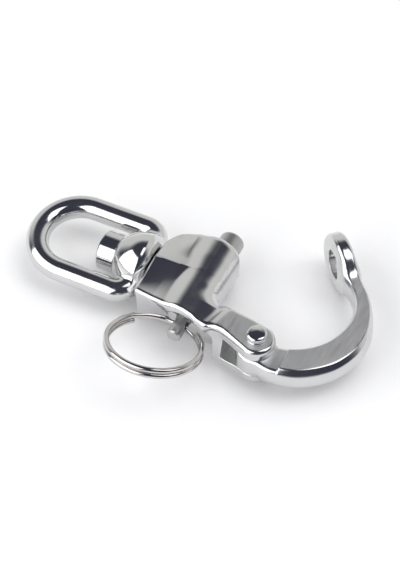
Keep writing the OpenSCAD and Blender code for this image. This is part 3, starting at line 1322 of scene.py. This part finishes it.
@dataclass
class HingeRivet:
    """The hinge rivet: a plain shank, a set head above the upper ear and a low tail below.

    The outlines of the neck, ring and tail are pairs of radius and height, counted from the
    head's radius and the ear's face, or from the axis and the lower face for the tail.
    """

    hinge: Triple = HINGE
    shank_r: float = 2.2
    head_r: float = 2.8
    neck_r: float = 2.45
    ear_half: float = 6.6
    head_top: float = 9.4
    dome_r: float = 1.75
    dome_drop: float = 0.22
    brow_drop: float = 0.75
    neck: Knots = ((0.0, 1.05), (0.12, 0.86))
    neck_foot: Pair = (0.78, 0.66)
    ring: Knots = ((0.25, 0.58), (0.1, 0.42), (0.1, 0.12), (0.2, 0.0))
    tail_rim: Knots = ((2.5, 0.0), (2.4, 0.4), (2.0, 0.75))
    tail_r: float = 1.4
    tail: float = 7.5
    sides: int = 72

    def profile(self) -> list[Pair]:
        """Outline of the rivet.

        Returns:
            Radius and height down the rivet, from the head's middle to the tail's.
        """
        ear, top, r = self.ear_half, self.head_top, self.head_r
        outline = [(self.dome_r * t, top - self.dome_drop * t * t) for t in (0.0, 0.35, 0.7, 1.0)]
        for a in (math.radians(d) for d in (18, 36, 54, 72, 90)):
            across = self.dome_r + (r - self.dome_r) * math.sin(a)
            outline.append((across, top - self.dome_drop - self.brow_drop * (1.0 - math.cos(a))))
        outline += [(r - inset, ear + height) for inset, height in self.neck]
        outline += [(self.neck_r, ear + height) for height in self.neck_foot]
        outline += [(r - inset, ear + height) for inset, height in self.ring]
        outline += [(self.shank_r, ear), (self.shank_r, -ear)]
        outline += [(across, -ear - drop) for across, drop in self.tail_rim]
        return outline + [(self.tail_r, -self.tail), (0.0, -self.tail)]

    def build(self, finish: bpy.types.Material) -> bpy.types.Object:
        """Makes the rivet and dresses it.

        Args:
            finish: Its steel.

        Returns:
            The piece.
        """
        profile, n = self.profile(), self.sides
        turn = np.linspace(0.0, 2.0 * math.pi, n, endpoint=False)
        c, s = np.cos(turn), np.sin(turn)
        rings = [np.stack([r * c, r * s, np.full(n, z)], 1) for r, z in profile[1:-1]]
        ends = np.array([(0.0, 0.0, profile[0][1]), (0.0, 0.0, profile[-1][1])])
        points = np.concatenate(rings + [ends]) + np.array(self.hinge)
        faces = []
        for k, i in itertools.product(range(len(rings) - 1), range(n)):
            j = (i + 1) % n
            faces.append((k * n + i, (k + 1) * n + i, (k + 1) * n + j, k * n + j))
        first, last = len(rings) * n, (len(rings) - 1) * n
        faces += [(first, i, (i + 1) % n) for i in range(n)]
        faces += [(first + 1, last + (i + 1) % n, last + i) for i in range(n)]
        piece = to_object("hinge_rivet_set", points, faces)
        piece.data.materials.append(finish)
        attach(piece, "body")
        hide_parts("hinge_rivet")
        return piece


@dataclass
class TurnedParts:
    """The parts turned on a lathe, whose solids keep their own shape: the bolt and the plunger."""

    bolt: MirrorSteel = MirrorSteel(name="bolt_steel", smooth=0.06, worn=0.14, grain_depth=0.000005)
    plunger: LathedSteel = LathedSteel()

    def dress(self) -> list[str]:
        """Gives each turned part its finish.

        Returns:
            The names of the parts dressed.
        """
        wanted = {"swivel_bolt": self.bolt, "plunger": self.plunger}
        for name, finish in wanted.items():
            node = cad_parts[name]
            material = finish.build()
            if not node.material_slots:
                node.data.materials.append(material)
            for slot in node.material_slots:
                slot.material = material
        return list(wanted)


# ---------------------------------------------------------------- studio


@dataclass(frozen=True)
class Softbox:
    """One rectangular softbox, in metres and watts; a hidden one lights without a reflection."""

    name: str
    spot: Triple
    size: Pair
    power: float
    seen: bool = True

    def hang(self) -> bpy.types.Object:
        """Hangs the softbox so that it faces the shackle.

        Returns:
            The light.
        """
        data = bpy.data.lights.new(self.name, "AREA")
        data.shape = "RECTANGLE"
        data.size, data.size_y = self.size
        data.energy = self.power
        light = bpy.data.objects.new(self.name, data)
        light.location = self.spot
        light.rotation_euler = (-Vector(self.spot)).to_track_quat("-Z", "Y").to_euler()
        light.visible_glossy = self.seen
        light.visible_camera = False
        bpy.context.scene.collection.objects.link(light)
        return light


@dataclass
class Studio:
    """Pale floor, soft lights and the camera."""

    azimuth: float = 25.7507
    elevation: float = 50.1823
    distance: float = 487.606
    aim: Pair = (-1.22, 0.2652)
    lens: float = 162.0
    sensor: float = 36.0
    clip: Pair = (0.01, 20.0)
    floor_half: float = 0.9
    floor_tone: float = 0.92
    floor_mottle: float = 0.01
    floor_fibre: float = 400.0
    floor_rough: float = 0.9
    floor_gloss: float = 0.1
    sky: Triple = (0.055, 0.057, 0.078)
    wall: Triple = (0.80, 0.80, 0.78)
    wall_side: Triple = (-0.12, 0.99, 0.0)
    wall_lean: Pair = (0.0, 0.5)
    wall_height: Pair = (0.78, 0.52)
    skirt: float = 0.45
    skirt_height: Pair = (0.22, 0.05)
    lights: tuple[Softbox, ...] = (
        Softbox("left_softbox", (-0.545, -0.650, 0.53), (1.45, 1.06), 10.6),
        Softbox("right_softbox", (0.489, 0.104, 0.866), (0.5, 0.73), 2.5),
        Softbox("fill", (0.2, 0.3, 1.3), (1.6, 1.6), 10.5, seen=False),
    )

    def camera(self) -> bpy.types.Object:
        """Puts the camera at its place, looking down on the shackle.

        Returns:
            The camera.
        """
        a, e = math.radians(self.azimuth), math.radians(self.elevation)
        back = Vector((math.sin(a) * math.cos(e), -math.cos(a) * math.cos(e), math.sin(e)))
        right = Vector((math.cos(a), math.sin(a), 0.0))
        up = back.cross(right)
        lens = bpy.data.cameras.new("camera")
        lens.lens = self.lens
        lens.sensor_width = self.sensor
        lens.sensor_fit = "HORIZONTAL"
        lens.clip_start, lens.clip_end = self.clip
        camera = bpy.data.objects.new("camera", lens)
        spot = (self.distance * back + self.aim[0] * right + self.aim[1] * up + Vector(PLACE)) * MM
        camera.matrix_world = Matrix.Translation(spot) @ Matrix((right, up, back)).transposed().to_4x4()
        bpy.context.scene.collection.objects.link(camera)
        bpy.context.scene.camera = camera
        return camera

    def floor(self) -> bpy.types.Object:
        """Lays the plain pale floor.

        Returns:
            The floor.
        """
        h, tone = self.floor_half, self.floor_tone
        mesh = bpy.data.meshes.new("floor")
        mesh.from_pydata([(-h, -h, 0), (h, -h, 0), (h, h, 0), (-h, h, 0)], [], [(0, 1, 2, 3)])
        nodes = Nodes("floor_paper")
        fibre = nodes.noise(self.floor_fibre, 3.0)
        paper = nodes.tint(fibre, (tone - self.floor_mottle,) * 3, (tone + self.floor_mottle,) * 3)
        nodes.link(paper, nodes.shader.inputs["Base Color"])
        nodes.shader.inputs["Roughness"].default_value = self.floor_rough
        nodes.shader.inputs["Specular IOR Level"].default_value = self.floor_gloss
        mesh.materials.append(nodes.material)
        floor = bpy.data.objects.new("floor", mesh)
        bpy.context.scene.collection.objects.link(floor)
        return floor

    def share(self, tree: bpy.types.NodeTree, place: Socket, way: Triple, lean: Pair) -> Socket:
        """Share from 0 to 1 by how far a direction leans towards a way.

        Args:
            tree: Node tree of the world.
            place: Direction looked in.
            way: The way it is measured against.
            lean: Lean at which the share is 0, and at which it is 1.

        Returns:
            The share.
        """
        dot = tree.nodes.new("ShaderNodeVectorMath")
        dot.operation = "DOT_PRODUCT"
        tree.links.new(place, dot.inputs[0])
        dot.inputs[1].default_value = way
        ramp = tree.nodes.new("ShaderNodeMapRange")
        ramp.interpolation_type = "SMOOTHSTEP"
        ramp.inputs["From Min"].default_value, ramp.inputs["From Max"].default_value = lean
        tree.links.new(dot.outputs["Value"], ramp.inputs["Value"])
        return ramp.outputs["Result"]

    def sky_dome(self) -> None:
        """Fills the room: dark blue air overhead, and a pale wall low down on the far side."""
        world = bpy.data.worlds.new("room")
        world.use_nodes = True
        tree = world.node_tree
        place = tree.nodes.new("ShaderNodeTexCoord").outputs["Generated"]
        up = (0.0, 0.0, 1.0)
        wall = tree.nodes.new("ShaderNodeMath")
        wall.operation = "MULTIPLY"
        tree.links.new(self.share(tree, place, up, self.wall_height), wall.inputs[0])
        tree.links.new(self.share(tree, place, self.wall_side, self.wall_lean), wall.inputs[1])
        both = tree.nodes.new("ShaderNodeMath")
        both.operation = "MULTIPLY_ADD"
        both.use_clamp = True
        tree.links.new(self.share(tree, place, up, self.skirt_height), both.inputs[0])
        both.inputs[1].default_value = self.skirt
        tree.links.new(wall.outputs[0], both.inputs[2])
        mix = tree.nodes.new("ShaderNodeMix")
        mix.data_type = "RGBA"
        mix.inputs[6].default_value = (*self.sky, 1.0)
        mix.inputs[7].default_value = (*self.wall, 1.0)
        tree.links.new(both.outputs[0], mix.inputs[0])
        tree.links.new(mix.outputs[2], tree.nodes["Background"].inputs["Color"])
        bpy.context.scene.world = world

    def build(self) -> None:
        """Sets up the whole studio."""
        self.camera()
        self.floor()
        self.sky_dome()
        for light in self.lights:
            light.hang()
        bpy.context.scene.view_settings.view_transform = "Standard"


def main() -> None:
    """Builds the studio and every piece of the shackle."""
    logging.basicConfig(level=logging.INFO, format="%(name)s: %(message)s")
    Studio().build()
    ground, drawn = GroundSteel().build(), DrawnSteel().build()
    makers = (
        (SwivelEye(), MirrorSteel(name="bail_steel").build()),
        (ShackleBody(), ground),
        (Hook(), ground),
        (HingeRivet(), MirrorSteel(name="rivet_steel", smooth=0.05, worn=0.10).build()),
        (SplitRing(), drawn),
        (PlungerSpring(), drawn),
    )
    for maker, finish in makers:
        piece = maker.build(finish)
        LOG.info("%s: %d faces", piece.name, len(piece.data.polygons))
    for name in TurnedParts().dress():
        LOG.info("%s: dressed", name)


if __name__ == "__main__":
    main()
